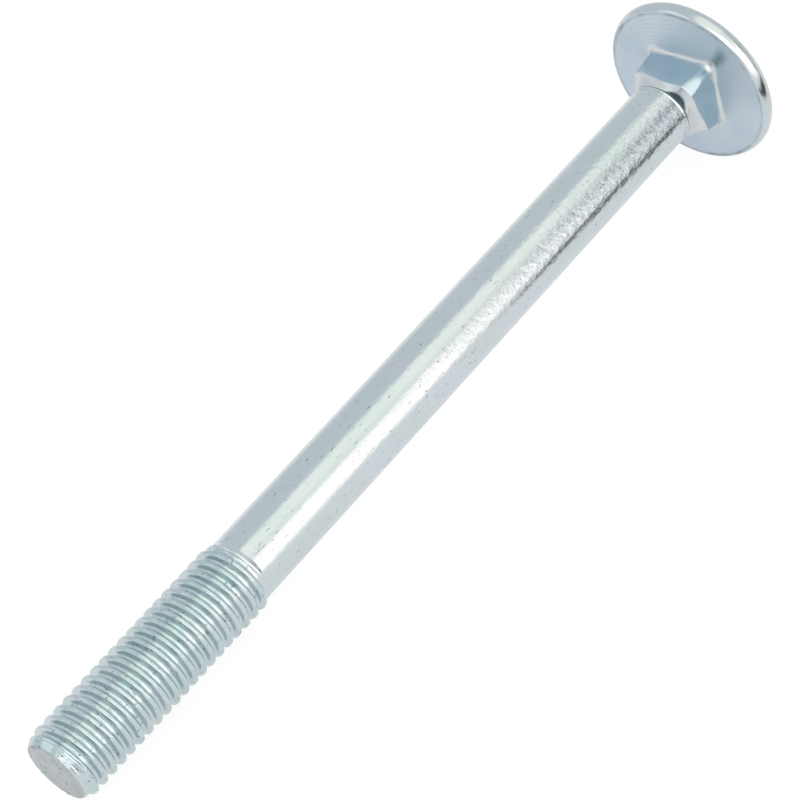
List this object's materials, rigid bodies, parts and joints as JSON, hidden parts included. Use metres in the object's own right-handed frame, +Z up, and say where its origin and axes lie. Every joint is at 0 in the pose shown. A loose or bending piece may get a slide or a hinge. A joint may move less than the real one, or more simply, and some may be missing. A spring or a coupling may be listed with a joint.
{
  "type": "carriage bolt",
  "caption": "Zinc-plated steel carriage bolt: low domed head, short square neck that keys into timber, plain shank, rolled thread at the end for a nut.",
  "frame": {"origin": "on the bolt's own axis, in the plane of the bearing face under the head, where the square neck starts", "axes": "+X runs from the tip towards the head, in the vertical plane through the bolt's axis; +Z is up, square to the surface that the bolt lies on; the axis itself rises 3.35 degrees towards the head, because the bolt rests on the rim of its head and the end of its thread; two flats of the neck face +Y and -Y"},
  "size_m": [0.1055, 0.0196, 0.0197],
  "materials": {
    "zinc_plate": "bright zinc plate with a cool blue cast, semi-bright, faint draw lines along the shank and fine pits"
  },
  "bodies": {
    "root": {"carriage_bolt": "zinc_plate"}
  },
  "joints": []
}
